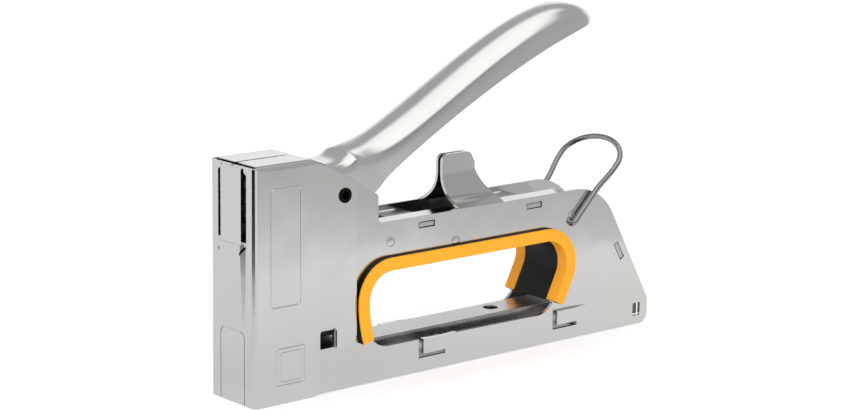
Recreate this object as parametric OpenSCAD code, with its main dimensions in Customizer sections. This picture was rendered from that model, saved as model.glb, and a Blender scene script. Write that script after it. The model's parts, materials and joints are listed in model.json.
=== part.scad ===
// Hand staple gun of pressed steel for fine-wire staples.
// Profiles are laid out from the nose: X runs from the front face to the rear,
// Y runs across, Z runs up from the nose's foot. Millimetres throughout.
// Each sub-part is then shifted so that the origin is the middle of the base.

/* [Head] */
// Width across the front casing
head_w = 25; // [24.8:0.1:26]
// Height of the head above the nose's foot
head_h = 81; // [80.5:0.5:84]
// Thickness of the casing sheet
casing_t = 1; // [0.8:0.1:1]

/* [Frame] */
// Length from the front face to the rear end of the frame
frame_len = 183.5; // [182:0.5:190]
// Height of the frame's top edge
frame_top = 55.8; // [55:0.1:57]
// Thickness of the frame plates
plate_t = 1.2; // [1:0.1:1.2]
// Height of the frame's bottom edge above the nose's foot
frame_foot = 0.4; // [0.2:0.1:0.6]

/* [Grip] */
// Height of the underside of the grip lining
grip_roof = 39; // [38.5:0.1:39.5]
// Width of the lining's face along the opening
lining_w = 4.5; // [4:0.1:4.6]
// How far the lining stands out from each frame plate
lining_out = 2.4; // [2.3:0.1:3]

/* [Handle] */
// Radius of the pivot pin
pivot_r = 2.6; // [2.4:0.1:2.8]
// Half the width of the handle's grip
handle_half_w = 9.9; // [9.7:0.1:10.2]
// Thickness of the handle sheet
handle_t = 1.2; // [1:0.1:1.3]

/* [Magazine] */
// Height of the top of the magazine channel
magazine_top = 14; // [13.8:0.1:14.2]
// Half the width of the magazine channel
magazine_half_w = 6.1; // [6.1:0.1:6.3]
// Length of the strip of staples
strip_len = 57; // [20:1:57]

/* [Lock bail] */
// Radius of the bail's wire
wire_r = 1.05; // [0.9:0.05:1.05]
// Angle of the bail above the horizontal
bail_angle = 46; // [45:0.5:48]

/* [Hidden] */
$fn = 48;

// Colours
nickel = "silver";
dark_steel = "dimgray";
spring_steel = "slategray";
black_plastic = "#151515";
yellow_plastic = "#f8a51e";
rubber_black = "#202020";

// Working gaps
gap = 0.3;
fit_gap = 0.05;
past = 1;

// Head
corner_r = 2;
casing_len = 42.6;
nose_len = 27;
flap_end = 24.3;
head_in = head_w/2 - casing_t;
bump_out = 1.3;
bump_foot = 26.5;
bump_top = 54.3;
bump_half_w = 7.6;
bump_face_w = 6;
bump_ledge = 0.35;
slit_in = 5.6;
slit_out = 7.8;
slit_foot = 55.4;
slit_step = 77.6;
wall_drop = 0.6;
flap_start = 2;
flap_rise = 0.9;
flap_seam = 0.45;
fold_line = [10.7, 11];
panel_half_w = 6.8;
panel_top = 25.2;
panel_line = [0.35, 0.4];
strip_out = 0.6;
origin_x = (frame_len - bump_out)/2;

// Frame
plate_out = head_in - 0.1;
plate_in = plate_out - plate_t;
rear_bow_r = 21.5;
slant_angle = 60;
pivot = [37.2, 67.5];
bail_root = [142.6, 43.6];
slot_size = [7.3, 2.3];
slot_front = [74, 52.6];
slot_middle = [124.3, 52.6];
slot_rear = [frame_len - 15.8, 29.9];
catch_hole = [frame_len - 5.8, 5.9];
catch_size = [2.9, 4];
rivets = [[58, 48.5, 1.75], [87.3, 44.8, 1.9], [142.8, 46.8, 1.6]];
rivet_ring = 0.15;
louvres = [[71.2, 5.1], [134.8, 4.9]];
louvre_len = 16.8;
louvre_flat = 9.4;
louvre_cut = 12.1;
louvre_h = 7.1;
louvre_gap = [1, 1.9];
louvre_out = 1.4;
flange_in = 5.2;
flanges = [[54.4, 88.5], [110, 139]];
stop_tab = [89, 109.6];
stop_tab_top = 73.5;
stop_tab_gap = 0.6;

// Grip lining
bend_r = 9.6;
front_bend = [56.9, grip_roof - bend_r];
rear_bend = [129.4, grip_roof - bend_r];
leg_bow_r = 43;
rear_lean = 26;
rear_leg = 10;
trim_skin = 0.9;
trim_lip = 1;
liner_mid = 8.7;

// Handle: curves of its lower edge and its depth, as control points from the neck to the tip
handle_neck = [[31, 61.8], [43.6, 60.2], [51.4, 64], [56.3, 69]];
handle_edge = [[56.3, 69], [64.8, 77.8], [132.4, 114.1], [157.4, 115.7]];
handle_depth = [[16.8, 0], [1, 0], [20, 0], [6.6, 0]];
neck_depth = 16.2;
neck_steps = 8;
grip_steps = 18;
tip_steps = 8;
tip_start = 0.8;
arch_steps = 16;

// Drive
handle_swing = 25.2;
stud_x = 9;
lift_arm = pivot[0] - stud_x;
stud_z = pivot[1] - lift_arm*tan(handle_swing/2);
stud_r = 2;
arm_out = 9.3;
arm_in = 8.1;
plunger_foot = 34.4;
plunger_seat = 42;
plunger_half_w = 6.85;
cheek_t = 1;
driver_front = 1.2;
driver_t = 1;
driver_half_w = 5.2;
driver_tip = 0.4;
cap_z = head_h - casing_t - 1.2;
power_mean_r = 5.6;
power_wire_r = 0.95;

// Magazine
channel_t = 0.7;
channel_foot = 2.6;
channel_end = 174;
rail_half_w = 4.5;
rail_t = 0.8;
rail_foot = 6.2;
rail_top = magazine_top - channel_t - 0.9;
rail_front = 2.7;
rail_end = 170;
crown_half_w = 5.25;
crown_top = rail_top + 0.7;
crown_t = 0.6;
leg_foot = 7.1;
strip_front = 2.5;
pusher_x = strip_front + strip_len + 0.1;
pusher_len = 14;
rod_z = 8.7;
rod_r = 1;
nose_block_end = 24;
nose_block_top = 30;

// Bail
bail_half_w = 12.9;
bail_bend_r = 1.3;
bail_leg = 14.5;
bail_loop = 27.6;
bail_top = 37.8;
bail_loop_half_w = 14.7;

// ---------- shared helpers ----------
module at_origin() translate([-origin_x, 0, 0]) children();

// A profile drawn in X and Z, given its place and thickness across the tool.
module side(y0, y1) translate([0, y1, 0]) rotate([90, 0, 0]) linear_extrude(y1 - y0) children();

module both_sides() {
    children();
    mirror([0, 1, 0]) children();
}

module cross_pin(at, r, y0, y1) translate([at[0], y0, at[1]]) rotate([-90, 0, 0])
    cylinder(r = r, h = y1 - y0);

module long_pin(z, r, x0, x1) translate([x0, 0, z]) rotate([0, 90, 0]) cylinder(r = r, h = x1 - x0);

module box(x, y, z) translate([x[0], y[0], z[0]]) cube([x[1] - x[0], y[1] - y[0], z[1] - z[0]]);

function arc(at, r, from, to, steps = 8) =
    [for (i = [0:steps]) let(a = from + (to - from)*i/steps) [at[0] + r*cos(a), at[1] + r*sin(a)]];

function smooth(t) = t*t*(3 - 2*t);

function bezier(p, t) = pow(1 - t, 3)*p[0] + 3*pow(1 - t, 2)*t*p[1] + 3*(1 - t)*t*t*p[2] + pow(t, 3)*p[3];

function bezier_dir(p, t) = let(d = pow(1 - t, 2)*(p[1] - p[0]) + 2*(1 - t)*t*(p[2] - p[1])
    + t*t*(p[3] - p[2])) d/norm(d);

// Triangles that join each ring of points to the next.
function ring_sides(rings, sides) = [for (i = [0:rings - 2], k = [0:sides - 1], half = [0, 1])
    let(n = (k + 1) % sides, a = i*sides + k, b = a + sides, c = (i + 1)*sides + n)
    half == 0 ? [a, b, c] : [a, c, i*sides + n]];

// Faces that close a stack of rings into one solid.
function ring_faces(rings, sides) = concat([[for (k = [0:sides - 1]) k]], ring_sides(rings, sides),
    [[for (k = [sides - 1:-1:0]) (rings - 1)*sides + k]]);

function reversed(list) = [for (i = [len(list) - 1:-1:0]) list[i]];

// A round wire along a coil on the Z axis, from z0 to z1, with its end turns closed up.
module coil(mean_r, r, z0, z1, turns, per_turn = 20, sides = 8) {
    steps = turns*per_turn;
    function rise(t) = let(n = t*turns, close = 2.1*r/(z1 - z0 - 2*r))
        n < 1 ? n*close : n > turns - 1 ? 1 - (turns - n)*close : close + (n - 1)/(turns - 2)*(1 - 2*close);
    points = [for (i = [0:steps], k = [0:sides - 1])
        let(t = i/steps, a = 360*t*turns, b = -360*k/sides, q = mean_r + r*cos(b))
        [q*cos(a), q*sin(a), z0 + r + (z1 - z0 - 2*r)*rise(t) + r*sin(b)]];
    polyhedron(points, ring_faces(steps + 1, sides), convexity = 10);
}

// ---------- head ----------
module casing_outline() polygon(concat(
    [[0, 0]],
    arc([nose_len - 3.5, 3.5], 3.5, -90, 0),
    arc([nose_len + 1.6, 21.1], 1.6, 180, 90, 4),
    arc([32.4, 21], 1.7, 90, 0, 4),
    [[34.1, 15.2]],
    arc([casing_len - 4, 19.2], 4, -90, 0),
    arc([casing_len - 5.5, 68], 5, 0, 60, 6),
    [[24.4, head_h], [0, head_h]]));

// The head's plan, inset by the sheet thickness for its inside.
module head_plan(inset) {
    r = corner_r - inset;
    w = head_w/2 - inset;
    polygon(concat(arc([corner_r, -w + r], r, 180, 270, 6), [[60, -w], [60, w]],
        arc([corner_r, w - r], r, 90, 180, 6)));
}

// The head's front view: the top's two flaps are folded in from the sides and rise toward their seam.
module head_front() polygon(concat(
    [[-head_w/2, -past], [head_w/2, -past]],
    arc([head_w/2 - 1.8, head_h - 1.8], 1.8, 0, 90, 5),
    [[0, head_h + flap_rise]],
    arc([-head_w/2 + 1.8, head_h - 1.8], 1.8, 90, 180, 5)));

// Cuts a shape drawn in Y and Z through the casing's front wall, on both sides.
module front_cuts() both_sides() translate([-2*past - bump_out, 0, 0]) rotate([90, 0, 90])
    linear_extrude(3*past + bump_out + casing_t) children();

// Underside of the flaps, which also opens the gap between them and the front wall.
module flap_underside() translate([casing_t, 0, 0]) rotate([90, 0, 90]) linear_extrude(flap_end)
    polygon([[-head_in + 0.5, head_h - casing_t - 0.1], [head_in - 0.5, head_h - casing_t - 0.1],
        [0, head_h - casing_t + flap_rise]]);

// Line pressed round the lower front panel.
module front_panel_line() translate([-past, 0, 0]) rotate([90, 0, 90]) linear_extrude(past + panel_line[1])
    difference() {
        panel_2d(0);
        panel_2d(panel_line[0]);
    }

module panel_2d(inset) {
    w = panel_half_w - inset;
    polygon(concat([[-w, -past], [w, -past]], arc([w - 2.5, panel_top - inset - 2.5], 2.5, 0, 90, 5),
        arc([-w + 2.5, panel_top - inset - 2.5], 2.5, 90, 180, 5)));
}

// Pressed bump that gives the driver its room: it stands out most at the top and its sides slope.
module driver_bump() polyhedron(
    [for (end = [[bump_foot, bump_ledge], [bump_top, bump_out]], p = [[0.1, -bump_half_w], [0.1, bump_half_w],
        [-end[1], bump_face_w], [-end[1], -bump_face_w]]) [p[0], p[1], end[0]]],
    concat([[0, 1, 2, 3], [7, 6, 5, 4]], [for (k = [0:3]) let(n = (k + 1) % 4) each
        [[k, k + 4, n + 4], [k, n + 4, n]]]));

module front_casing() at_origin() color(nickel) difference() {
    union() {
        difference() {
            intersection() {
                side(-head_w/2, head_w/2) casing_outline();
                translate([0, 0, -past]) linear_extrude(head_h + 2*past) head_plan(0);
                translate([-past, 0, 0]) rotate([90, 0, 90]) linear_extrude(60) head_front();
            }
            translate([0, 0, -past]) linear_extrude(head_h - casing_t + past) head_plan(casing_t);
            flap_underside();
            box([flap_end, 60], [-head_in, head_in], [head_h - 3, head_h + past]);
            front_panel_line();
        }
        driver_bump();
        // raised strip between the slits
        box([-strip_out, casing_t], [-slit_in, slit_in], [bump_top - 0.1, head_h - 1.2]);
    }
    front_cuts() polygon([[slit_in, slit_foot], [slit_out, slit_foot], [slit_out, slit_step],
        [slit_out - 0.4, slit_step + 0.5], [slit_in + 0.9, slit_step + 0.9], [slit_in + 0.6, head_h - 1],
        [slit_in, head_h - 1]]);
    // tears at the bump's upper corners
    front_cuts() polygon([[slit_out, bump_top - 0.4], [slit_out - 0.9, bump_top - 0.4],
        [bump_face_w - 0.6, bump_top - 2.6], [bump_face_w - 0.4, bump_top - 3.4]]);
    // the front wall ends below the flaps, and the flaps stop short of it
    box([-2*past, flap_start], [-head_in, head_in], [head_h - wall_drop, head_h + past]);
    box([-2*past, 0.7], [-head_w, head_w], [head_h - wall_drop, head_h + past]);
    box([casing_t, flap_start], [-head_in + 0.5, head_in - 0.5], [head_h - casing_t - 0.1, head_h + past]);
    // seam between the flaps and the lines of their folds
    box([-2*past, flap_end + past], [-flap_seam, flap_seam], [head_h - casing_t - 0.1, head_h + past]);
    both_sides() box([0, flap_end], fold_line, [head_h - 0.25, head_h + past]);
    cross_pin(pivot, pivot_r, -head_w, head_w);
}

module spring_cap() at_origin() color(dark_steel) difference() {
    union() {
        box([1.8, 22], [-plate_in + 0.1, plate_in - 0.1], [cap_z, head_h - casing_t - fit_gap]);
        translate([stud_x, 0, cap_z - 3]) cylinder(r = power_mean_r - power_wire_r - 0.4, h = 3.1);
    }
    translate([stud_x, 0, cap_z - 4]) cylinder(r = 2, h = 3.4);
}

module nose_block() at_origin() color(dark_steel) difference() {
    box([2.4, nose_block_end], [-plate_in + fit_gap, plate_in - fit_gap], [0, nose_block_top]);
    box([0, nose_block_end + past], [-magazine_half_w, magazine_half_w], [channel_foot - 0.4, magazine_top]);
    both_sides() box([12, nose_block_end + past], [7.4, 11], [16, nose_block_top + past]);
}

module bumper() at_origin() color(rubber_black)
    box([2.6, 15.4], [-6.6, 6.6], [nose_block_top, plunger_foot - 0.15]);

// ---------- frame ----------
// The inside line of the grip lining, moved outward by u, from the front foot over the roof to the rear.
function grip_line(u) = concat(
    arc([front_bend[0] - bend_r + leg_bow_r, front_bend[1]], leg_bow_r + u, 198, 180, 5),
    arc(front_bend, bend_r + u, 180, 90, 10),
    arc(rear_bend, bend_r + u, 90, -rear_lean, 12),
    [rear_bend + (bend_r + u)*[cos(rear_lean), -sin(rear_lean)]
        + rear_leg*[-sin(rear_lean), -cos(rear_lean)]]);

// Horseshoe between two offsets of the grip line.
module grip_band(inner, outer) polygon(concat(grip_line(inner), reversed(grip_line(outer))));

module grip_opening() {
    lip = grip_line(0.5);
    last = len(lip) - 1;
    polygon(concat([lip[0] - [0, 0.4]], [for (i = [1:last - 1]) lip[i]], [lip[last] - [0, 0.4]],
        arc([127.2, 20.4], 9, -38, -90, 6), arc([57.4, 21], 9, 270, 218, 6)));
    grip_band(-0.2, 3.05);
}

module plate_outline() polygon(concat(
    [[1.2, frame_foot]],
    arc([frame_len - 3.5, 3.9], 3.9 - frame_foot, -90, 0, 6),
    arc([frame_len - 4, 8.5], 4, 0, 90 - slant_angle, 3),
    arc([145, frame_top - rear_bow_r], rear_bow_r, 90 - slant_angle, 90, 12),
    arc([54.5, frame_top + 2], 2, 270, 180, 5),
    [[52.5, 65], [51.9, 65.9], [36.5, 75.1], [27, 79.5], [1.2, 79.5]]));

module slot_2d(at, turn = 0) translate(at) rotate(turn) square(slot_size, center = true);

module plate_cuts() {
    grip_opening();
    slot_2d(slot_front);
    slot_2d(slot_middle);
    slot_2d(slot_rear, -slant_angle);
    translate(catch_hole) square(catch_size + [0.9, 0.9], center = true);
    translate([27.8, 15.6]) square([6, 6.2]);
    for (l = louvres) translate(l) square([louvre_cut, louvre_h]);
}

// Tongue pushed out of the plate, drawn in plan: proud and open at the front, flush at the rear.
module louvre_plan() polygon([[louvre_gap[0], louvre_out], [louvre_flat, louvre_out], [louvre_len, 0],
    [louvre_len, -plate_t], [louvre_flat, louvre_out - plate_t], [louvre_gap[0], louvre_out - plate_t]]);

module louvre(at) {
    web = 0.6;
    translate([at[0], -plate_out, at[1] + louvre_gap[1]]) mirror([0, 1, 0])
        linear_extrude(louvre_h - louvre_gap[1]) louvre_plan();
    // strip that joins the tongue to the plate along its top
    box([at[0] + louvre_gap[0], at[0] + louvre_flat], [-plate_out - louvre_out + plate_t - 0.1, -plate_in],
        [at[1] + louvre_h - web, at[1] + louvre_h]);
}

// The stop tab seen from the side and from the front.
module stop_tab_side() polygon(concat(
    [[stop_tab[0], frame_top - 1.5]],
    arc([stop_tab[0] + 2.5, stop_tab_top - 2.5], 2.5, 180, 90, 4),
    arc([100.2, stop_tab_top - 2.8], 2.8, 90, 20, 4),
    arc([110.6, 68.6], 6.6, 172, 215, 4),
    [[stop_tab[1], frame_top + 0.8], [stop_tab[1], frame_top - 1.5]]));

// Middle line of the tab's front view: it leans in from the plate, then stands up.
tab_line = [[-plate_out + 0.5, frame_top - 0.3], [-7.6, 57.2], [-stop_tab_gap - plate_t/2, 60],
    [-stop_tab_gap - plate_t/2, 67]];

function tab_edge(offset) = [for (i = [0:8]) let(d = bezier_dir(tab_line, i/8))
    bezier(tab_line, i/8) + offset*[d[1], -d[0]]];

module stop_tab_front() polygon(concat(
    [[-plate_out, frame_top - 1.5]], tab_edge(-plate_t/2),
    [[-stop_tab_gap - plate_t, stop_tab_top], [-stop_tab_gap, stop_tab_top]],
    reversed(tab_edge(plate_t/2)), [[-plate_in, frame_top - 1.5]]));

module frame_plate(plate_flanges) difference() {
    union() {
        side(-plate_out, -plate_in) difference() {
            plate_outline();
            plate_cuts();
        }
        for (l = louvres) louvre(l);
        for (f = plate_flanges) box(f, [-plate_out + 0.2, -flange_in], [frame_top - plate_t, frame_top]);
        intersection() {
            side(-plate_out - past, 0) stop_tab_side();
            translate([stop_tab[0] - past, 0, 0]) rotate([90, 0, 90]) linear_extrude(30) stop_tab_front();
        }
    }
    cross_pin(pivot, pivot_r, -head_w, 0);
    cross_pin(bail_root, wire_r + fit_gap, -head_w, 0);
    for (r = rivets) cross_pin([r[0], r[1]], r[2], -head_w, 0);
}

module frame_plate_left() at_origin() color(nickel) frame_plate(flanges);

module frame_plate_right() at_origin() color(nickel) mirror([0, 1, 0]) frame_plate([]);

module frame_rivets() at_origin() color(nickel) for (r = rivets) {
    cross_pin([r[0], r[1]], r[2], -plate_out + 0.3, plate_out - 0.3);
    cross_pin([r[0], r[1]], r[2] - rivet_ring, -plate_out, plate_out);
}

// Cross plate between the frame plates, with a tab that stands in a slot on each side.
module spacer(at, turn) translate([at[0], 0, at[1]]) rotate([0, -turn, 0]) {
    tab = slot_size - [0.8, 0.7];
    cube([slot_size[0] + 5, 2*plate_in - 0.1, tab[1]], center = true);
    cube([tab[0], 2*plate_out - 0.2, tab[1]], center = true);
}

module spacer_front() at_origin() color(dark_steel) spacer(slot_front, 0);

module spacer_middle() at_origin() color(dark_steel) spacer(slot_middle, 0);

module spacer_rear() at_origin() color(dark_steel) spacer(slot_rear, -slant_angle);

module rear_guides() at_origin() color(dark_steel) both_sides()
    box([150, 166], [magazine_half_w, plate_in - fit_gap], [3, 11]);

// ---------- grip lining ----------
module grip_liner() at_origin() color(black_plastic) {
    side(-plate_in - plate_t - lining_out + trim_skin, plate_in + plate_t + lining_out - trim_skin)
        grip_band(trim_lip, 3);
    side(-liner_mid, liner_mid) grip_band(0.1, 1.2);
    both_sides() side(plate_out + fit_gap, plate_out + lining_out - trim_skin) grip_band(2, lining_w);
}

module grip_trim() {
    side(plate_out + lining_out - trim_skin, plate_out + lining_out) grip_band(0, lining_w);
    side(liner_mid, plate_out + lining_out) grip_band(0, trim_lip);
}

module grip_trim_left() at_origin() color(yellow_plastic) mirror([0, 1, 0]) grip_trim();

module grip_trim_right() at_origin() color(yellow_plastic) grip_trim();

// ---------- handle ----------
// Places along the handle: below 0 on the neck, 0 to 1 on the grip, closer together at the tip.
handle_places = concat([for (i = [0:neck_steps - 1]) -1 + i/neck_steps],
    [for (i = [0:grip_steps]) tip_start*i/grip_steps],
    [for (i = [1:tip_steps]) tip_start + (0.998 - tip_start)*sin(90*i/tip_steps)]);

function tip_factor(s) = let(q = max(0, (s - tip_start)/(1 - tip_start))) pow(1 - pow(q, 2.3), 1/2.3);

function handle_foot(s) = s < 0 ? bezier(handle_neck, s + 1) : bezier(handle_edge, s);

function handle_dir(s) = s < 0 ? bezier_dir(handle_neck, s + 1) : bezier_dir(handle_edge, s);

function handle_height(s) = (s < 0 ? neck_depth + (handle_depth[0][0] - neck_depth)*(s + 1)
    : bezier(handle_depth, s)[0])*pow(tip_factor(s), 0.9);

function handle_half(s) = (arm_out + (handle_half_w - arm_out)*smooth(min(1, max(0, s)/0.3)))*tip_factor(s);

// From the neck, which is boxy, to the grip, which is rounder.
function blend(s, neck, grip) = neck + (grip - neck)*smooth(min(1, max(0, s + 0.2)/0.4));

// One side-to-side arch of the handle at place s, drawn in by the sheet thickness for its inside:
// two upright flanks and a crown over them.
function arch(s, inset, flip) = let(p = handle_foot(s), d = handle_dir(s), flank = blend(s, 0.6, 0.3),
    w = max(0.6, handle_half(s) - inset), h = max(0.6, handle_height(s) - inset))
    [for (i = [0:arch_steps]) let(k = flip ? arch_steps - i : i, foot = k == 0 || k == arch_steps,
        a = 180*min(1, max(0, (k - 1)/(arch_steps - 2))), c = cos(a),
        across = sign(c)*pow(abs(c), blend(s, 0.45, 0.85)),
        up = foot ? 0 : h*(flank + (1 - flank)*pow(sin(a), blend(s, 0.5, 0.9))))
        [p[0] - d[1]*up, w*across, p[1] + d[0]*up]];

module handle_shell() {
    sides = 2*(arch_steps + 1);
    last = sides*(len(handle_places) - 1);
    end_faces = [for (k = [0:arch_steps - 1]) [k, k + 1, sides - 2 - k, sides - 1 - k]];
    points = [for (s = handle_places) each concat(arch(s, 0, false), arch(s, handle_t, true))];
    polyhedron(points, concat(end_faces, ring_sides(len(handle_places), sides),
        [for (f = end_faces) [for (v = reversed(f)) last + v]]), convexity = 10);
}

// Cheek of the handle's fork: round the pivot, forward over the plunger's stud and up in a hook.
module fork_outline() polygon([[46, 61.3], [37, 59.6], [26, 57.2], [13, 55.4], [5.6, 55.6], [4.6, 57],
    [4.7, 60.2], [6.3, 60.2], [6.5, stud_z - stud_r - 0.35], [12.6, stud_z - stud_r - 0.35], [14.6, 61.8],
    [31, 73.4], [36, 74.6], [42, 74.2], [48, 70]]);

module handle() at_origin() color(nickel) difference() {
    union() {
        handle_shell();
        both_sides() side(arm_in + fit_gap, arm_out - fit_gap) fork_outline();
    }
    cross_pin(pivot, pivot_r + fit_gap, -head_w, head_w);
}

module handle_pivot_pin() at_origin() color("#101010") difference() {
    cross_pin(pivot, pivot_r, -head_w/2 - 0.3, head_w/2 + 0.3);
    cross_pin(pivot, pivot_r/2, -head_w, head_w);
}

module return_spring() at_origin() color(spring_steel) translate([pivot[0], 0, pivot[1]]) rotate([-90, 0, 0])
    coil(pivot_r + 1.1, 0.5, -5.5, 5.5, 8, 16, 6);

// ---------- drive ----------
module plunger() at_origin() color(dark_steel) difference() {
    union() {
        box([driver_front + driver_t, 15.6], [-plunger_half_w, plunger_half_w], [plunger_foot, plunger_seat]);
        both_sides() side(plunger_half_w, plunger_half_w + cheek_t)
            polygon([[3.4, plunger_foot], [14.6, plunger_foot], [14.6, 50], [13, 64.6], [5, 64.6],
                [3.4, 50]]);
        translate([stud_x, 0, plunger_seat - 0.1])
            cylinder(r = power_mean_r - power_wire_r - 0.4, h = 6.1);
    }
    cross_pin([stud_x, stud_z], stud_r, -head_w, head_w);
    translate([stud_x, 0, plunger_seat - 4]) cylinder(r = 2, h = 12);
}

module lift_studs() at_origin() color("gray") both_sides()
    cross_pin([stud_x, stud_z], stud_r, plunger_half_w, arm_out + gap);

module driver_blade() at_origin() color("gainsboro")
    box([driver_front, driver_front + driver_t], [-driver_half_w, driver_half_w],
        [driver_tip, plunger_seat - 2]);

module power_spring() at_origin() color(spring_steel) translate([stud_x, 0, 0])
    coil(power_mean_r, power_wire_r, plunger_seat, cap_z, 8.5, 20, 8);

// ---------- magazine ----------
module magazine_channel() at_origin() color(nickel) difference() {
    box([2.6, channel_end], [-magazine_half_w, magazine_half_w], [channel_foot, magazine_top]);
    box([0, channel_end + past], [-magazine_half_w + channel_t, magazine_half_w - channel_t],
        [channel_foot - past, magazine_top - channel_t]);
    // line of the fold along the channel's upper edges
    both_sides() box([0, channel_end + past], [magazine_half_w - 0.35, magazine_half_w + past],
        [magazine_top - 0.75, magazine_top - 0.25]);
    translate([115.2, 0.8, magazine_top - 2]) cylinder(r = 2.7, h = 4);
}

module staple_rail() at_origin() color("gainsboro") difference() {
    box([rail_front, rail_end], [-rail_half_w, rail_half_w], [rail_foot, rail_top]);
    box([rail_front + 2, rail_end + past], [-rail_half_w + rail_t, rail_half_w - rail_t],
        [rail_foot - past, rail_top - rail_t]);
    long_pin(rod_z, rod_r, rail_front - past, rail_front + 3);
}

module staple_strip() at_origin() color("#c9b458") difference() {
    box([strip_front, strip_front + strip_len], [-crown_half_w, crown_half_w], [leg_foot, crown_top]);
    box([0, strip_front + strip_len + past], [-rail_half_w - 0.1, rail_half_w + 0.1],
        [0, crown_top - crown_t]);
}

module pusher() at_origin() color(dark_steel) difference() {
    union() {
        difference() {
            box([pusher_x, pusher_x + pusher_len], [-crown_half_w, crown_half_w], [5, crown_top]);
            box([0, 200], [-rail_half_w - 0.15, rail_half_w + 0.15], [rail_foot - gap, crown_top - crown_t]);
        }
        box([pusher_x, pusher_x + pusher_len], [-3.3, 3.3], [5.5, rail_top - rail_t - gap]);
    }
    long_pin(rod_z, rod_r + fit_gap, 0, 200);
}

module pusher_rod() at_origin() color("gray") long_pin(rod_z, rod_r, rail_front + 0.5, rail_end + 3);

module pusher_spring() at_origin() color(spring_steel)
    translate([0, 0, rod_z]) rotate([0, 90, 0]) coil(1.75, 0.35, pusher_x + pusher_len, rail_end, 28, 12, 6);

// End block of the rail with a spring tongue on each side that snaps into the frame's rear slots.
module magazine_catch() at_origin() color(dark_steel) difference() {
    union() {
        box([rail_end, frame_len - 2], [-rail_half_w, rail_half_w], [3.2, rail_top]);
        both_sides() {
            box([frame_len - 4, frame_len - 2.6], [rail_half_w - 0.5, 8.4], [3.4, 10.4]);
            box([rail_end + 2, frame_len - 2.6], [7.4, 8.4], [3.4, 10.4]);
            translate([catch_hole[0] - catch_size[0]/2, 8.2, catch_hole[1] - catch_size[1]/2])
                cube([catch_size[0], plate_in - 8.3, catch_size[1]]);
        }
    }
    long_pin(rod_z, rod_r, rail_end - past, rail_end + 3);
}

// ---------- lock bail ----------
// The wire runs in a plane through the hinge line; u is the distance from the hinge, v is across.
bail_half_path = concat(
    arc([bail_bend_r, bail_half_w - bail_bend_r], bail_bend_r, 180, 90, 5),
    [for (i = [0:7]) bezier([[bail_leg, bail_half_w], [bail_leg + 5, bail_half_w],
        [bail_loop - 6, bail_loop_half_w], [bail_loop, bail_loop_half_w]], i/7)],
    [for (a = [75:-15:15]) [bail_loop + (bail_top - bail_loop)*cos(a), bail_loop_half_w*sin(a)]]);
bail_path = concat(bail_half_path, [[bail_top, 0]], [for (p = reversed(bail_half_path)) [p[0], -p[1]]]);

// A round wire along a flat path in X and Y.
module flat_wire(path, r, sides = 12) {
    last = len(path) - 1;
    points = [for (i = [0:last], k = [0:sides - 1])
        let(d = path[min(last, i + 1)] - path[max(0, i - 1)], n = [d[1], -d[0]]/norm(d), b = -360*k/sides)
        [path[i][0] + n[0]*r*cos(b), path[i][1] + n[1]*r*cos(b), r*sin(b)]];
    polyhedron(points, ring_faces(last + 1, sides), convexity = 10);
}

module lock_bail() at_origin() color("gainsboro") translate([bail_root[0], 0, bail_root[1]])
    rotate([0, -bail_angle, 0]) {
        flat_wire(bail_path, wire_r - 0.02);
        both_sides() cross_pin([0, 0], wire_r, plate_in - 1, bail_half_w - bail_bend_r + 0.1);
    }

front_casing();
frame_plate_left();
frame_plate_right();
handle();
handle_pivot_pin();
return_spring();
plunger();
lift_studs();
driver_blade();
power_spring();
spring_cap();
bumper();
nose_block();
magazine_channel();
staple_rail();
staple_strip();
pusher();
pusher_rod();
pusher_spring();
magazine_catch();
rear_guides();
spacer_front();
spacer_middle();
spacer_rear();
frame_rivets();
lock_bail();
grip_liner();
grip_trim_left();
grip_trim_right();
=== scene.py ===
import json
import math

import bmesh
import bpy
from mathutils import Matrix, Vector

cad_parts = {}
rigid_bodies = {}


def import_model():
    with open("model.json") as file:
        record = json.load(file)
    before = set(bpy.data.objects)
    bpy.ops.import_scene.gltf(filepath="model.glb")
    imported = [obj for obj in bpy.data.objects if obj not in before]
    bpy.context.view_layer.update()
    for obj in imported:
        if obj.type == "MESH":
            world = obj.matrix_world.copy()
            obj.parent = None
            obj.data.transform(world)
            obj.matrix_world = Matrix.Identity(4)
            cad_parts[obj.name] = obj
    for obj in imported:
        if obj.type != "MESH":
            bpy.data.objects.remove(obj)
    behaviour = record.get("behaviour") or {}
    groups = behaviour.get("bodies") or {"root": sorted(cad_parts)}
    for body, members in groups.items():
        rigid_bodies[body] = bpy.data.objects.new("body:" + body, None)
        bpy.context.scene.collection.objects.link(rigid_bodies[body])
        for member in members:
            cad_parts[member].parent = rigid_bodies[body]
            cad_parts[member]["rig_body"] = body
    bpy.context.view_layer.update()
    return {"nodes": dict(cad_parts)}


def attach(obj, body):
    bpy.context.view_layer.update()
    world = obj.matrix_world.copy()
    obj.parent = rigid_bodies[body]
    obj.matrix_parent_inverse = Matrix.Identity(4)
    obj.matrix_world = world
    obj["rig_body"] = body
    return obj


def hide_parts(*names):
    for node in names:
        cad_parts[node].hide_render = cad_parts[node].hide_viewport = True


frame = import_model()

# The profiles are laid out in millimetres from the nose; ORIGIN is where the row's own origin lies on them.
ORIGIN = 91.1
PIN_Z = 67.5
HEAD_SIDE = 12.5
SQUEEZE = math.radians(25.2)


def P(x, y, z):
    return Vector(((x - ORIGIN) / 1000, y / 1000, z / 1000))


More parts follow.
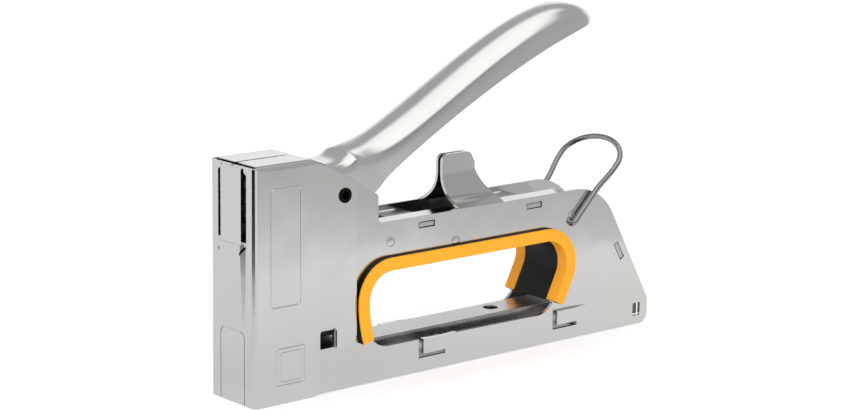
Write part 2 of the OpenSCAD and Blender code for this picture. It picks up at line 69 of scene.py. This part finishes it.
# ---------------------------------------------------------------- camera
def make_camera():
    data = bpy.data.cameras.new("camera")
    cam = bpy.data.objects.new("camera", data)
    bpy.context.scene.collection.objects.link(cam)
    az, el, roll = math.radians(-40.547), math.radians(12.225), math.radians(0.818)
    back = Vector((math.sin(az) * math.cos(el), -math.cos(az) * math.cos(el), math.sin(el)))
    right = Vector((math.cos(az), math.sin(az), 0))
    up = back.cross(right)
    r2 = right * math.cos(roll) + up * math.sin(roll)
    u2 = up * math.cos(roll) - right * math.sin(roll)
    cam.matrix_world = Matrix((
        (r2.x, u2.x, back.x, -0.5421),
        (r2.y, u2.y, back.y, -0.6266),
        (r2.z, u2.z, back.z, 0.2345),
        (0, 0, 0, 1)))
    data.sensor_width = 36
    data.lens = 100.953
    data.clip_start = 0.05
    data.clip_end = 50
    bpy.context.scene.camera = cam


make_camera()


# ---------------------------------------------------------------- materials
class Mat:
    """A small wrapper that builds a Principled material from procedural nodes."""

    def __init__(self, name, color, metallic=0.0, roughness=0.5):
        self.m = bpy.data.materials.new(name)
        self.m.use_nodes = True
        self.nt = self.m.node_tree
        self.b = self.nt.nodes["Principled BSDF"]
        self.b.inputs["Base Color"].default_value = (*color, 1)
        self.b.inputs["Metallic"].default_value = metallic
        self.b.inputs["Roughness"].default_value = roughness
        self.coord = self.nt.nodes.new("ShaderNodeTexCoord").outputs["Object"]
        self.height = None

    def new(self, kind, **inputs):
        n = self.nt.nodes.new(kind)
        for k, v in inputs.items():
            sock = n.inputs[k.replace("_", " ")]
            if hasattr(v, "links"):
                self.nt.links.new(v, sock)
            else:
                sock.default_value = v
        return n

    def mapped(self, scale, rotation=(0, 0, 0)):
        return self.new("ShaderNodeMapping", Vector=self.coord, Scale=scale, Rotation=rotation).outputs[0]

    def noise(self, scale, detail=3.0, vector=None, rough=0.5):
        return self.new("ShaderNodeTexNoise", Vector=vector or self.coord, Scale=scale, Detail=detail,
                        Roughness=rough).outputs["Fac"]

    def remap(self, value, a, b, lo, hi):
        n = self.new("ShaderNodeMapRange", Value=value, From_Min=a, From_Max=b, To_Min=lo, To_Max=hi)
        n.clamp = True
        return n.outputs[0]

    def math(self, op, a, b):
        n = self.nt.nodes.new("ShaderNodeMath")
        n.operation = op
        for i, v in enumerate((a, b)):
            if hasattr(v, "links"):
                self.nt.links.new(v, n.inputs[i])
            else:
                n.inputs[i].default_value = v
        return n.outputs[0]

    def ramp(self, value, stops):
        n = self.new("ShaderNodeValToRGB", Fac=value)
        e = n.color_ramp.elements
        while len(e) < len(stops):
            e.new(0.5)
        for k, (at, c) in enumerate(stops):
            e[k].position = at
            e[k].color = (*c, 1)
        return n.outputs["Color"]

    def link(self, value, socket):
        self.nt.links.new(value, self.b.inputs[socket])
        return self

    def bump(self, height, strength, distance):
        n = self.new("ShaderNodeBump", Height=height, Strength=strength, Distance=distance)
        if self.height is not None:
            self.nt.links.new(self.height, n.inputs["Normal"])
        self.height = n.outputs["Normal"]
        self.nt.links.new(self.height, self.b.inputs["Normal"])
        return self


def scaled(color, f):
    return tuple(min(1, c * f) for c in color)


def nickel(name, color, rough, ripple=1.0, shade_rear_faces=False):
    """Bright plated sheet: slow ripples, handling smears, fine hairlines and a warm or cool drift.

    With the flag set, faces that face the rear are painted dark: painted shade that the plates beside them
    mirror as a dark line along the rear edge.
    """
    m = Mat(name, color, 1.0, rough)
    smear = m.noise(38, 4, rough=0.55)
    fine = m.noise(900, 3)
    hair = m.noise(1, 5, m.mapped((260, 900, 1500)), 0.65)
    r = m.remap(smear, 0.3, 0.72, rough - 0.045, rough + 0.06)
    r = m.math("ADD", r, m.remap(hair, 0.35, 0.75, -0.012, 0.035))
    m.link(r, "Roughness")
    drift = m.ramp(m.noise(17, 3), [(0.3, scaled(color, 0.95)), (0.55, color),
                                    (0.75, (color[0] * 1.02, color[1] * 1.005, color[2] * 0.97))])
    # painted shade: the colour of faces that face the rear falls to 0.12 of itself, so the plates mirror a
    # dark rear edge
    if shade_rear_faces:
        normal = m.nt.nodes.new("ShaderNodeTexCoord").outputs["Normal"]
        facing = m.new("ShaderNodeSeparateXYZ", Vector=normal).outputs[0]
        n = m.nt.nodes.new("ShaderNodeVectorMath")
        n.operation = "SCALE"
        m.nt.links.new(drift, n.inputs[0])
        m.nt.links.new(m.remap(facing, 0.5, 0.85, 1, 0.12), n.inputs["Scale"])
        drift = n.outputs[0]
    m.link(drift, "Base Color")
    m.bump(m.noise(26, 2), 0.5 * ripple, 0.0012)
    m.bump(m.noise(120, 2), 0.25 * ripple, 0.00012)
    m.bump(hair, 0.16, 0.00003)
    m.bump(fine, 0.10, 0.00002)
    return m.m


def dark_steel(name, color, rough):
    """Hardened, oiled steel with a fine ground grain and a little mottling."""
    m = Mat(name, color, 1.0, rough)
    mott = m.noise(90, 4)
    m.link(m.ramp(mott, [(0.3, scaled(color, 0.75)), (0.7, scaled(color, 1.2))]), "Base Color")
    m.link(m.remap(m.noise(300, 4), 0.3, 0.7, rough - 0.08, rough + 0.1), "Roughness")
    m.bump(m.noise(1, 4, m.mapped((300, 2500, 2500)), 0.6), 0.3, 0.00004)
    return m.m


def spring_wire(name, color):
    """Drawn spring wire with a thin film of oil."""
    m = Mat(name, color, 1.0, 0.3)
    m.link(m.remap(m.noise(700, 3), 0.3, 0.7, 0.24, 0.4), "Roughness")
    m.link(m.ramp(m.noise(220, 3), [(0.35, scaled(color, 0.8)), (0.7, scaled(color, 1.15))]), "Base Color")
    m.bump(m.noise(1600, 2), 0.15, 0.00003)
    return m.m


def moulded(name, color, rough, specular=0.5):
    """Injection-moulded plastic: a fine spark-eroded skin, slightly uneven gloss and faint flow marks."""
    m = Mat(name, color, 0.0, rough)
    m.b.inputs["Specular IOR Level"].default_value = specular
    m.link(m.ramp(m.noise(60, 4), [(0.3, scaled(color, 0.95)), (0.7, scaled(color, 1.03))]), "Base Color")
    m.link(m.remap(m.noise(140, 4), 0.3, 0.7, rough - 0.05, rough + 0.07), "Roughness")
    m.bump(m.noise(4200, 2), 0.22, 0.00004)
    m.bump(m.noise(45, 2), 0.18, 0.0003)
    return m.m


NICKEL = nickel("nickel_sheet", (0.66, 0.655, 0.645), 0.1)
NICKEL_HANDLE = nickel("nickel_handle", (0.72, 0.71, 0.69), 0.13, 0.7)
NICKEL_HEAD = nickel("nickel_head", (0.69, 0.685, 0.675), 0.12, shade_rear_faces=True)
WIRE_STEEL = nickel("bright_wire", (0.33, 0.325, 0.335), 0.13, 0.15)
BRIGHT = nickel("bright_strip", (0.55, 0.55, 0.545), 0.26, 0.4)
TOOL = dark_steel("dark_tool_steel", (0.2, 0.2, 0.205), 0.38)
SPRING = spring_wire("spring_wire", (0.4, 0.41, 0.43))
BLACKENED = dark_steel("blackened_pin", (0.012, 0.012, 0.013), 0.24)
STAPLES = dark_steel("staple_wire", (0.62, 0.58, 0.46), 0.32)
RUBBER = moulded("bumper_rubber", (0.03, 0.03, 0.03), 0.7)
BLACK = moulded("black_moulding", (0.004, 0.004, 0.0045), 0.42, specular=0.2)
YELLOW = moulded("yellow_moulding", (1.0, 0.42, 0.012), 0.34, specular=0.32)


# ---------------------------------------------------------------- pieces
def to_mesh(bm, name):
    mesh = bpy.data.meshes.new(name)
    bm.to_mesh(mesh)
    bm.free()
    return mesh


def link(name, mesh):
    o = bpy.data.objects.new(name, mesh)
    bpy.context.scene.collection.objects.link(o)
    return o


def bake(o):
    """Applies the modifiers."""
    dg = bpy.context.evaluated_depsgraph_get()
    mesh = bpy.data.meshes.new_from_object(o.evaluated_get(dg))
    o.modifiers.clear()
    o.data = mesh
    return o


def bevelled(o, width, segments=2, angle=32):
    m = o.modifiers.new("bevel", "BEVEL")
    m.width = width
    m.segments = segments
    m.limit_method = "ANGLE"
    m.angle_limit = math.radians(angle)
    m.use_clamp_overlap = True
    return smooth(bake(o))


def smooth(o, angle=46):
    """Smooth shading that leaves the large flat faces flat."""
    for p in o.data.polygons:
        p.use_smooth = True
    o.data.set_sharp_from_angle(angle=math.radians(angle))
    m = o.modifiers.new("normals", "WEIGHTED_NORMAL")
    m.mode = "FACE_AREA"
    m.weight = 90
    m.keep_sharp = True
    return bake(o)


def finish_piece(o, body, material, slot, *nodes):
    """Dresses a piece and joins it to its body; it stands in for the named CAD nodes."""
    o.data.materials.clear()
    o.data.materials.append(material)
    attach(o, body)
    if nodes:
        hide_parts(*nodes)


def skin(node, name, material, slot, bevel, cuts=()):
    """A finished copy of a CAD node with its edges rolled as pressing leaves them.

    Faces that curl round an opening are first cut into short stretches at the places in cuts.
    """
    src = frame["nodes"][node]
    bm = bmesh.new()
    bm.from_mesh(src.data)
    bmesh.ops.remove_doubles(bm, verts=bm.verts, dist=1e-6)
    bmesh.ops.dissolve_limit(bm, angle_limit=math.radians(0.6), verts=bm.verts, edges=bm.edges)
    for x in cuts:
        bmesh.ops.bisect_plane(bm, geom=bm.verts[:] + bm.edges[:] + bm.faces[:], plane_co=P(x, 0, 0),
                               plane_no=(1, 0, 0), dist=1e-6)
    o = link(name, to_mesh(bm, name))
    bevelled(o, bevel)
    finish_piece(o, src["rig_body"], material, slot, node)


def paint(node, material):
    o = frame["nodes"][node]
    o.data.materials.clear()
    o.data.materials.append(material)
    for p in o.data.polygons:
        p.use_smooth = True
        p.material_index = 0


# ---------------------------------------------------------------- stage and light
def sheet(name, half, z, material):
    bm = bmesh.new()
    bmesh.ops.create_grid(bm, x_segments=2, y_segments=2, size=half)
    bmesh.ops.translate(bm, verts=bm.verts, vec=(0, 0, z))
    o = link(name, to_mesh(bm, name))
    o.data.materials.append(material)
    return o


def glow(name):
    """A plain emissive surface and its node tree."""
    m = bpy.data.materials.new(name)
    m.use_nodes = True
    nt = m.node_tree
    nt.nodes.clear()
    out = nt.nodes.new("ShaderNodeOutputMaterial")
    e = nt.nodes.new("ShaderNodeEmission")
    nt.links.new(e.outputs[0], out.inputs[0])
    return m, nt, e


class Graph:
    """Arithmetic on node sockets."""

    def __init__(self, nt):
        self.nt = nt

    def do(self, op, *values):
        n = self.nt.nodes.new("ShaderNodeMath")
        n.operation = op
        for i, v in enumerate(values):
            if hasattr(v, "links"):
                self.nt.links.new(v, n.inputs[i])
            else:
                n.inputs[i].default_value = v
        return n.outputs[0]

    def ease(self, value, a, b, lo, hi):
        n = self.nt.nodes.new("ShaderNodeMapRange")
        n.interpolation_type = "SMOOTHSTEP"
        for name, v in (("Value", value), ("From Min", a), ("From Max", b), ("To Min", lo), ("To Max", hi)):
            if hasattr(v, "links"):
                self.nt.links.new(v, n.inputs[name])
            else:
                n.inputs[name].default_value = v
        return n.outputs[0]

    def curve(self, value, points):
        """A piecewise level along value: points are (position, level)."""
        total = points[0][1]
        for (a, lo), (b, hi) in zip(points, points[1:]):
            total = self.do("ADD", total, self.ease(value, a, b, 0, hi - lo))
        return total

    def mix(self, a, b, f):
        return self.do("ADD", self.do("MULTIPLY", a, self.do("SUBTRACT", 1, f)), self.do("MULTIPLY", b, f))


def make_floor():
    m = Mat("floor_paper", (0.9, 0.9, 0.9), 0.0, 0.9)
    m.b.inputs["Specular IOR Level"].default_value = 0.1
    m.b.inputs["Emission Color"].default_value = (1, 1, 1, 1)
    m.b.inputs["Emission Strength"].default_value = FLOOR_GLOW
    floor = sheet("floor", 4, 0, m.m)
    floor.visible_glossy = False

    # what the bright metal mirrors of the table: white paper that ends in a dim room
    m, nt, e = glow("table_reflection")
    g = Graph(nt)
    geo = nt.nodes.new("ShaderNodeTexCoord")
    xyz = nt.nodes.new("ShaderNodeSeparateXYZ")
    nt.links.new(geo.outputs["Object"], xyz.inputs[0])
    x, y = xyz.outputs[0], xyz.outputs[1]
    front = g.do("MULTIPLY", y, -1)
    near = g.curve(g.do("ADD", front, g.do("MULTIPLY", x, 0.6)), TABLE_FRONT)
    back = g.curve(y, TABLE_BACK)
    level = g.mix(near, back, g.ease(y, -0.005, 0.03, 0, 1))
    away = g.do("SQRT", g.do("ADD", g.do("POWER", g.do("ADD", x, 0.085), 2), g.do("POWER", y, 2)))
    # a near-black painted patch in this painted reflection, out past the nose end of the tool and beyond 0.1
    # to 0.26 m from it
    turn = g.do("ARCTAN2", g.do("ADD", x, 0.085), front)
    gate = g.do("MULTIPLY", g.ease(turn, math.radians(-128), math.radians(-118), 0, 1),
                g.ease(turn, math.radians(-60), math.radians(-50), 1, 0))
    gate = g.do("MULTIPLY", gate, g.ease(away, 0.1, 0.26, 0, 1))
    level = g.mix(level, 0.01, gate)
    nt.links.new(level, e.inputs["Strength"])
    mirror = sheet("table_mirror", 4, -0.0004, m)
    for flag in ("camera", "diffuse", "transmission", "shadow", "volume_scatter"):
        setattr(mirror, "visible_" + flag, False)


def make_world():
    """A studio tent: white behind the tool, a lit ceiling, and a dim side towards the photographer."""
    world = bpy.data.worlds.new("studio")
    bpy.context.scene.world = world
    world.use_nodes = True
    nt = world.node_tree
    g = Graph(nt)
    coord = nt.nodes.new("ShaderNodeTexCoord")
    xyz = nt.nodes.new("ShaderNodeSeparateXYZ")
    nt.links.new(coord.outputs["Generated"], xyz.inputs[0])
    x, y, z = xyz.outputs
    front = g.mix(g.curve(z, SKY_FRONT), 0.48, g.ease(x, 0.3, 0.5, 0, 1))
    level = g.mix(front, g.curve(z, SKY_BACK), g.ease(y, -0.2, 0.15, 0, 1))
    back = nt.nodes["Background"]
    back.inputs["Color"].default_value = (1, 1, 1, 1)
    nt.links.new(level, back.inputs["Strength"])


def make_lamp(name, at, to, size, power):
    data = bpy.data.lights.new(name, "AREA")
    data.shape = "RECTANGLE"
    data.size, data.size_y = size
    data.energy = power
    o = bpy.data.objects.new(name, data)
    bpy.context.scene.collection.objects.link(o)
    o.location = at
    o.rotation_euler = (Vector(to) - Vector(at)).to_track_quat("-Z", "Y").to_euler()
    o.visible_glossy = False


# Brightness of the surroundings, as (place, level). Places are metres from the tool on the table, and the
# sine of the height in the sky.
FLOOR_GLOW = 0.22
TABLE_FRONT = [(0, 0.84), (0.1, 0.92), (0.2, 0.98), (0.25, 0.76), (0.32, 0.68), (0.42, 0.58), (0.9, 0.5)]
TABLE_BACK = [(0, 0.76), (0.08, 0.85), (0.2, 0.88), (0.5, 0.86), (2, 1.1)]
SKY_FRONT = [(-0.05, 0.45), (0.03, 0.36), (0.4, 0.32), (0.62, 1.35), (1, 1.35)]
SKY_BACK = [(-0.05, 1), (0.3, 1), (0.52, 0.48), (0.76, 0.48), (0.92, 1.25), (1, 1.3)]

make_floor()
make_world()
make_lamp("fill", (-0.9, -1.1, 0.9), (0, 0, 0.05), (0.9, 0.7), 9)
make_lamp("back_light", (0.5, 1.4, 1.1), (0, 0, 0.06), (1.4, 0.7), 6)
bpy.context.scene.view_settings.view_transform = "Standard"

# ---------------------------------------------------------------- sheet metal
skin("front_casing", "head_casing", NICKEL_HEAD, "nickel", 0.00011)
skin("frame_plate_left", "side_plate_left", NICKEL, "nickel", 0.00018)
skin("frame_plate_right", "side_plate_right", NICKEL, "nickel", 0.00018)


# ---------------------------------------------------------------- handle
NECK = [(31, 61.8), (43.6, 60.2), (51.4, 64), (56.3, 69)]
EDGE = [(56.3, 69), (64.8, 77.8), (132.4, 114.1), (157.4, 115.7)]
DEPTH = (16.8, 1, 20, 6.6)
TIP = 0.8
STUD_REACH = 28.2


def bezier(p, t):
    k = ((1 - t) ** 3, 3 * (1 - t) ** 2 * t, 3 * (1 - t) * t * t, t ** 3)
    return sum((Vector(q) * w for q, w in zip(p, k)), Vector((0, 0)))


def bezier_dir(p, t):
    p = [Vector(q) for q in p]
    d = (1 - t) ** 2 * (p[1] - p[0]) + 2 * (1 - t) * t * (p[2] - p[1]) + t * t * (p[3] - p[2])
    return d.normalized()


def ease(t):
    return t * t * (3 - 2 * t)


def tip_factor(s):
    q = max(0.0, (s - TIP) / (1 - TIP))
    return max(0.0, 1 - q ** 2.3) ** (1 / 2.3)


def blend(s, neck, grip):
    return neck + (grip - neck) * ease(min(1, max(0, s + 0.2) / 0.4))


def handle_arch(s, inset, count):
    p, d = (bezier(NECK, s + 1), bezier_dir(NECK, s + 1)) if s < 0 else (bezier(EDGE, s), bezier_dir(EDGE, s))
    depth = 16.2 + 0.6 * (s + 1) if s < 0 else sum(
        a * w for a, w in zip(DEPTH, ((1 - s) ** 3, 3 * (1 - s) ** 2 * s, 3 * (1 - s) * s * s, s ** 3)))
    f = tip_factor(s)
    half = (9.3 + 0.6 * ease(min(1, max(0, s) / 0.3))) * f
    w = max(0.6, half - inset)
    h = max(0.6, depth * f ** 0.9 - inset)
    flank = blend(s, 0.6, 0.3)
    out = []
    for i in range(count + 1):
        a = math.pi * min(1, max(0, (i - 1) / (count - 2)))
        c = math.cos(a)
        across = math.copysign(abs(c) ** blend(s, 0.45, 0.85), c)
        up = 0 if i in (0, count) else h * (flank + (1 - flank) * max(0.0, math.sin(a)) ** blend(s, 0.5, 0.9))
        out.append(P(p.x - d.y * up, w * across, p.y + d.x * up))
    return out


def make_handle():
    count = 44
    places = [-1 + i / 20 for i in range(20)] + [TIP * i / 56 for i in range(56)] + [
        TIP + (0.998 - TIP) * math.sin(math.pi / 2 * i / 24) for i in range(25)]
    rings = [handle_arch(s, 0, count) + handle_arch(s, 1.2, count)[::-1] for s in places]
    bm = bmesh.new()
    rows = [[bm.verts.new(v) for v in r] for r in rings]
    n = len(rows[0])
    for a, b in zip(rows, rows[1:]):
        for k in range(n):
            q = (k + 1) % n
            bm.faces.new((a[k], b[k], b[q], a[q]))
    for row, flip in ((rows[0], False), (rows[-1], True)):
        for k in range(count):
            f = [row[k], row[k + 1], row[n - 2 - k], row[n - 1 - k]]
            bm.faces.new(f[::-1] if flip else f)
    bmesh.ops.recalc_face_normals(bm, faces=bm.faces)
    o = link("handle_grip", to_mesh(bm, "handle_grip"))
    bevelled(o, 0.00045, 3, 50)
    finish_piece(o, "handle", NICKEL_HANDLE, "nickel", "handle")


def extruded(name, outline, y0, y1):
    """A flat outline in X and Z, in millimetres, made solid between two heights across the tool."""
    bm = bmesh.new()
    low = [bm.verts.new(P(x, y0, z)) for x, z in outline]
    high = [bm.verts.new(P(x, y1, z)) for x, z in outline]
    n = len(outline)
    bm.faces.new(low)
    bm.faces.new(high[::-1])
    for k in range(n):
        q = (k + 1) % n
        bm.faces.new((low[k], high[k], high[q], low[q]))
    bmesh.ops.recalc_face_normals(bm, faces=bm.faces)
    return link(name, to_mesh(bm, name))


def make_fork():
    stud_z = PIN_Z - STUD_REACH * math.tan(SQUEEZE / 2)
    seat = stud_z - 2.35
    outline = [(46, 61.3), (37, 59.6), (26, 57.2), (13, 55.4), (5.6, 55.6), (4.6, 57), (4.7, 60.2),
               (6.3, 60.2), (6.5, seat), (12.6, seat), (14.6, 61.8), (31, 73.4), (36, 74.6), (42, 74.2),
               (48, 70)]
    for name, y0, y1 in (("fork_left", -9.25, -8.15), ("fork_right", 8.15, 9.25)):
        o = extruded(name, outline, y0, y1)
        bevelled(o, 0.0002, 2, 20)
        finish_piece(o, "handle", NICKEL_HANDLE, "nickel")


make_handle()
make_fork()

# ---------------------------------------------------------------- the rest of the CAD nodes
BAND_CUTS = (62.3, 76.3, 91.3, 106.3, 120.3)
CATCH_CUTS = (172.3, 174.3, 176.3, 178.3, 180.1)
skin("grip_liner", "liner_moulding", BLACK, "black_plastic", 0.0002, cuts=BAND_CUTS)
skin("grip_trim_left", "trim_moulding_left", YELLOW, "yellow_plastic", 0.00022, cuts=BAND_CUTS)
skin("grip_trim_right", "trim_moulding_right", YELLOW, "yellow_plastic", 0.00022, cuts=BAND_CUTS)
skin("magazine_channel", "magazine_case", BRIGHT, "bright_steel", 0.00015)
skin("staple_rail", "rail_bar", BRIGHT, "bright_steel", 0.00015)
skin("magazine_catch", "catch_block", TOOL, "tool_steel", 0.0002, cuts=CATCH_CUTS)
skin("nose_block", "nose_core", TOOL, "tool_steel", 0.0002)
skin("spacer_front", "spacer_plate_front", BRIGHT, "tool_steel", 0.00015)
skin("spacer_middle", "spacer_plate_middle", BRIGHT, "tool_steel", 0.00015)
skin("spacer_rear", "spacer_plate_rear", BRIGHT, "tool_steel", 0.00015)
for n in ("rear_guides", "spring_cap", "plunger", "lift_studs", "pusher"):
    paint(n, TOOL)
for n in ("power_spring", "return_spring", "pusher_spring"):
    paint(n, SPRING)
for n in ("driver_blade", "pusher_rod"):
    paint(n, BRIGHT)
paint("staple_strip", STAPLES)
paint("bumper", RUBBER)
paint("handle_pivot_pin", BLACKENED)
paint("frame_rivets", NICKEL)


# ---------------------------------------------------------------- lock bail
def swept(name, path, section, closed=False):
    """A tube along a path of points; section(t) gives the ring at a point from its tangent."""
    bm = bmesh.new()
    rings = []
    n = len(path)
    for i, p in enumerate(path):
        before = path[(i - 1) % n] if closed else path[max(0, i - 1)]
        after = path[(i + 1) % n] if closed else path[min(n - 1, i + 1)]
        rings.append([bm.verts.new(v) for v in section(p, (after - before).normalized())])
    m = len(rings[0])
    pairs = list(zip(rings, rings[1:])) + ([(rings[-1], rings[0])] if closed else [])
    for a, b in pairs:
        for k in range(m):
            q = (k + 1) % m
            bm.faces.new((a[k], b[k], b[q], a[q]))
    if not closed:
        bm.faces.new(rings[0])
        bm.faces.new(rings[-1][::-1])
    bmesh.ops.recalc_face_normals(bm, faces=bm.faces)
    return link(name, to_mesh(bm, name))


WIRE_R = 0.00105


def make_bail():
    half_w, bend, leg, loop, top, loop_w = 12.9, 1.3, 14.5, 27.6, 37.8, 14.7
    half = [(bend - bend * math.cos(a), half_w - bend + bend * math.sin(a))
            for a in (math.pi / 2 * i / 10 for i in range(11))]
    half = [(0, 9.6)] + half + [(leg * i / 4, half_w) for i in range(1, 4)]
    curve = ((leg, half_w), (leg + 5, half_w), (loop - 6, loop_w), (loop, loop_w))
    half += [tuple(bezier(curve, i / 20)) for i in range(21)]
    half += [(loop + (top - loop) * math.cos(a), loop_w * math.sin(a))
             for a in (math.pi / 2 * (1 - i / 22) for i in range(1, 22))]
    flat = half + [(top, 0)] + [(u, -v) for u, v in reversed(half)]
    a = math.radians(46)
    out = Vector((-math.sin(a), 0, math.cos(a)))
    path = [P(142.6 + u * math.cos(a), v, 43.6 + u * math.sin(a)) for u, v in flat]

    def ring(p, tangent):
        across = tangent.cross(out).normalized()
        return [p + WIRE_R * (across * math.cos(b) + out * math.sin(b))
                for b in (2 * math.pi * k / 20 for k in range(20))]

    o = swept("bail_wire", path, ring)
    smooth(o, 60)
    finish_piece(o, "bail", WIRE_STEEL, "bright_steel", "lock_bail")


# ---------------------------------------------------------------- plain embossed outlines on the head
def make_bead(name, outline, y, height=0.00026, width=0.00032):
    """A low pressed bead along an outline in X and Z on a flank of the head."""
    side = math.copysign(1, y)
    path = [P(px, y, pz) for px, pz in outline]

    def ring(p, tangent):
        across = tangent.cross(Vector((0, 1, 0))).normalized()
        return [p + across * width * c + Vector((0, side * (height * h - 0.00005), 0))
                for c, h in ((-1, 0), (-0.55, 0.75), (0, 1), (0.55, 0.75), (1, 0), (0.6, -1), (-0.6, -1))]

    o = swept(name, path, ring, True)
    smooth(o, 80)
    finish_piece(o, "frame", NICKEL_HEAD, "nickel")


def rounded(x0, x1, z0, z1, r, steps=5):
    out = []
    for cx, cz, start in ((x1 - r, z0 + r, -90), (x1 - r, z1 - r, 0),
                          (x0 + r, z1 - r, 90), (x0 + r, z0 + r, 180)):
        for i in range(steps + 1):
            a = math.radians(start + 90 * i / steps)
            out.append((cx + r * math.cos(a), cz + r * math.sin(a)))
    return out


def make_beads():
    for side, tag in ((-1, "left"), (1, "right")):
        y = side * HEAD_SIDE
        make_bead("panel_bead_" + tag, rounded(6.7, 18.8, 33.2, 73, 1.2), y)
        make_bead("square_bead_" + tag, rounded(8.8, 20.6, 6.4, 19, 0.8), y)
        make_bead("inner_bead_" + tag, rounded(10.5, 19.5, 7.6, 17.6, 0.5), y, 0.0002, 0.00026)


# ---------------------------------------------------------------- rivets
def turned(name, profile, x, z, side, count=40):
    """A turned part: profile gives (radius, distance out from the middle plane), in millimetres."""
    bm = bmesh.new()
    rings = []
    for r, d in profile:
        rings.append([bm.verts.new(P(x + r * math.cos(t), side * d, z + r * math.sin(t)))
                      for t in (2 * math.pi * k / count for k in range(count))])
    for a, b in zip(rings, rings[1:]):
        for k in range(count):
            q = (k + 1) % count
            bm.faces.new((a[k], b[k], b[q], a[q]))
    bm.faces.new(rings[0])
    bm.faces.new(rings[-1])
    bmesh.ops.recalc_face_normals(bm, faces=bm.faces)
    return link(name, to_mesh(bm, name))


def make_rivets():
    for i, (x, z, r) in enumerate(((58, 48.5, 1.75), (87.3, 44.8, 1.9), (142.8, 46.8, 1.6))):
        for side, tag in ((-1, "left"), (1, "right")):
            profile = [(r, 10.3), (r, 11.12), (r - 0.1, 11.15), (r - 0.22, 11.15), (r - 0.24, 11.3),
                       (r - 0.32, 11.4), (r - 0.55, 11.46), (r * 0.55, 11.5), (r * 0.2, 11.52)]
            o = turned("rivet_head_%d_%s" % (i + 1, tag), profile, x, z, side)
            smooth(o, 40)
            finish_piece(o, "frame", NICKEL, "nickel")


make_bail()
make_beads()
make_rivets()
